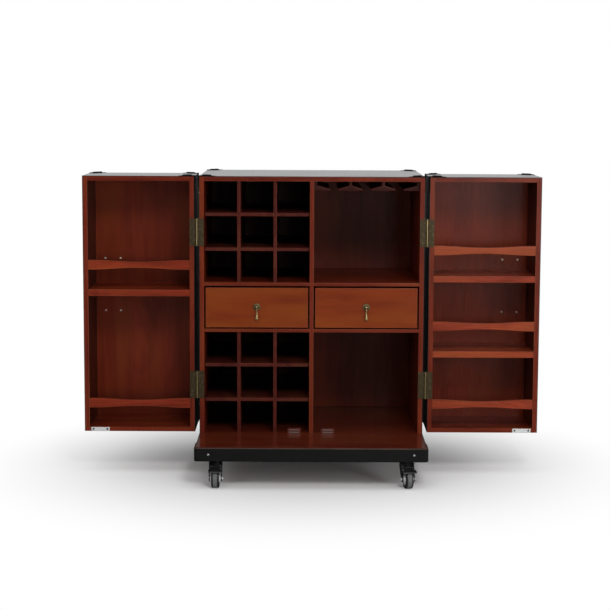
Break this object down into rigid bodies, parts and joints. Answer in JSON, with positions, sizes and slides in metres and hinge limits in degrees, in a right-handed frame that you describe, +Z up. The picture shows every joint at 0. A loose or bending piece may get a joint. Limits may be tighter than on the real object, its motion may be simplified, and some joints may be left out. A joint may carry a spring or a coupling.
{
  "type": "wine cabinet",
  "caption": "Trunk-style wine cabinet on casters with fold-open shelved doors, bottle racks, stemware rails, drop-pull drawers, black covering and metal corner guards.",
  "frame": {"origin": "middle of the footprint of the opened cabinet, on the floor", "axes": "+X to the right seen from the front, along both opened doors; +Y to the back; +Z up"},
  "size_m": [1.2454, 0.6292, 0.8217],
  "materials": {
    "mahogany": "red-brown stain under semi-gloss lacquer",
    "drawer_wood": "warmer brown stain under semi-gloss lacquer",
    "black_covering": "grained black leatherette",
    "black_edging": "satin black",
    "black_metal": "semi-gloss black paint",
    "antique_brass": "antique brass",
    "bright_steel": "bright plated steel",
    "caster_rubber": "matt rubber on a plastic hub",
    "pedal_plastic": "satin black",
    "strap_leather": "black leather",
    "catch_plastic": "dark casing with steel poles"
  },
  "bodies": {
    "cabinet": {"base_board": "mahogany", "base_edging": "black_edging", "base_nails": "bright_steel", "left_side": "mahogany", "right_side": "mahogany", "top_board": "mahogany", "back_board": "mahogany", "centre_partition": "mahogany", "drawer_boards": "mahogany", "drawer_guides": "mahogany", "upper_bottle_rack": "mahogany", "lower_bottle_rack": "mahogany", "glass_rails": "mahogany", "cabinet_covering": "black_covering", "cabinet_corner_guards": "black_metal", "cabinet_hinge_leaves": "antique_brass", "magnetic_catches": "catch_plastic", "caster_plates": "bright_steel"},
    "left_door": {"left_door_hinge_side": "mahogany", "left_door_free_side": "mahogany", "left_door_ends": "mahogany", "left_door_panel": "mahogany", "left_door_shelves": "mahogany", "left_door_guard_rails": "mahogany", "left_door_covering": "black_covering", "left_door_corner_guards": "black_metal", "left_door_hinge_leaves": "antique_brass", "left_door_strike_plate": "bright_steel", "left_door_handle": "strap_leather", "left_door_handle_keepers": "black_metal"},
    "right_door": {"right_door_hinge_side": "mahogany", "right_door_free_side": "mahogany", "right_door_ends": "mahogany", "right_door_panel": "mahogany", "right_door_shelves": "mahogany", "right_door_guard_rails": "mahogany", "right_door_covering": "black_covering", "right_door_corner_guards": "black_metal", "right_door_hinge_leaves": "antique_brass", "right_door_strike_plate": "bright_steel", "right_door_handle": "strap_leather", "right_door_handle_keepers": "black_metal"},
    "left_drawer": {"left_drawer_front": "drawer_wood", "left_drawer_box": "mahogany", "left_drawer_rosette": "antique_brass"},
    "left_drop": {"left_drawer_drop": "antique_brass"},
    "right_drawer": {"right_drawer_front": "drawer_wood", "right_drawer_box": "mahogany", "right_drawer_rosette": "antique_brass"},
    "right_drop": {"right_drawer_drop": "antique_brass"},
    "front_left_fork": {"front_left_fork": "black_metal"},
    "front_left_wheel": {"front_left_wheel": "caster_rubber"},
    "front_left_pedal": {"front_left_pedal": "pedal_plastic"},
    "front_right_fork": {"front_right_fork": "black_metal"},
    "front_right_wheel": {"front_right_wheel": "caster_rubber"},
    "front_right_pedal": {"front_right_pedal": "pedal_plastic"},
    "rear_left_fork": {"rear_left_fork": "black_metal"},
    "rear_left_wheel": {"rear_left_wheel": "caster_rubber"},
    "rear_right_fork": {"rear_right_fork": "black_metal"},
    "rear_right_wheel": {"rear_right_wheel": "caster_rubber"}
  },
  "joints": [
    {"name": "left_door_hinge", "type": "hinge", "parent": "cabinet", "child": "left_door", "pos_m": [-0.3125, -0.11235, 0.45], "axis": [0, 0, -1], "range_deg": [-180, 2.5]},
    {"name": "right_door_hinge", "type": "hinge", "parent": "cabinet", "child": "right_door", "pos_m": [0.3125, -0.11235, 0.45], "axis": [0, 0, 1], "range_deg": [-180, 2.5]},
    {"name": "left_drawer_slide", "type": "slide", "parent": "cabinet", "child": "left_drawer", "axis": [0, -1, 0], "range_m": [0, 0.26]},
    {"name": "left_drop_pivot", "type": "hinge", "parent": "left_drawer", "child": "left_drop", "pos_m": [-0.14925, -0.1176, 0.46225], "axis": [-1, 0, 0], "range_deg": [0, 80]},
    {"name": "right_drawer_slide", "type": "slide", "parent": "cabinet", "child": "right_drawer", "axis": [0, -1, 0], "range_m": [0, 0.26]},
    {"name": "right_drop_pivot", "type": "hinge", "parent": "right_drawer", "child": "right_drop", "pos_m": [0.14925, -0.1176, 0.46225], "axis": [-1, 0, 0], "range_deg": [0, 80]},
    {"name": "front_left_swivel", "type": "hinge", "parent": "cabinet", "child": "front_left_fork", "pos_m": [-0.254, -0.2626, 0.062], "axis": [0, 0, 1], "continuous": true},
    {"name": "front_left_roll", "type": "hinge", "parent": "front_left_fork", "child": "front_left_wheel", "pos_m": [-0.254, -0.2846, 0.025], "axis": [1, 0, 0], "continuous": true},
    {"name": "front_left_pedal_pivot", "type": "hinge", "parent": "front_left_fork", "child": "front_left_pedal", "pos_m": [-0.254, -0.2766, 0.0545], "axis": [-1, 0, 0], "range_deg": [0, 12]},
    {"name": "front_right_swivel", "type": "hinge", "parent": "cabinet", "child": "front_right_fork", "pos_m": [0.254, -0.2626, 0.062], "axis": [0, 0, 1], "continuous": true},
    {"name": "front_right_roll", "type": "hinge", "parent": "front_right_fork", "child": "front_right_wheel", "pos_m": [0.25782, -0.28427, 0.025], "axis": [0.9848, 0.1736, 0], "continuous": true},
    {"name": "front_right_pedal_pivot", "type": "hinge", "parent": "front_right_fork", "child": "front_right_pedal", "pos_m": [0.25643, -0.27639, 0.0545], "axis": [-0.9848, -0.1736, 0], "range_deg": [0, 12]},
    {"name": "rear_left_swivel", "type": "hinge", "parent": "cabinet", "child": "rear_left_fork", "pos_m": [-0.254, 0.2624, 0.062], "axis": [0, 0, 1], "continuous": true},
    {"name": "rear_left_roll", "type": "hinge", "parent": "rear_left_fork", "child": "rear_left_wheel", "pos_m": [-0.254, 0.2404, 0.025], "axis": [1, 0, 0], "continuous": true},
    {"name": "rear_right_swivel", "type": "hinge", "parent": "cabinet", "child": "rear_right_fork", "pos_m": [0.254, 0.2624, 0.062], "axis": [0, 0, 1], "continuous": true},
    {"name": "rear_right_roll", "type": "hinge", "parent": "rear_right_fork", "child": "rear_right_wheel", "pos_m": [0.254, 0.2404, 0.025], "axis": [1, 0, 0], "continuous": true}
  ]
}
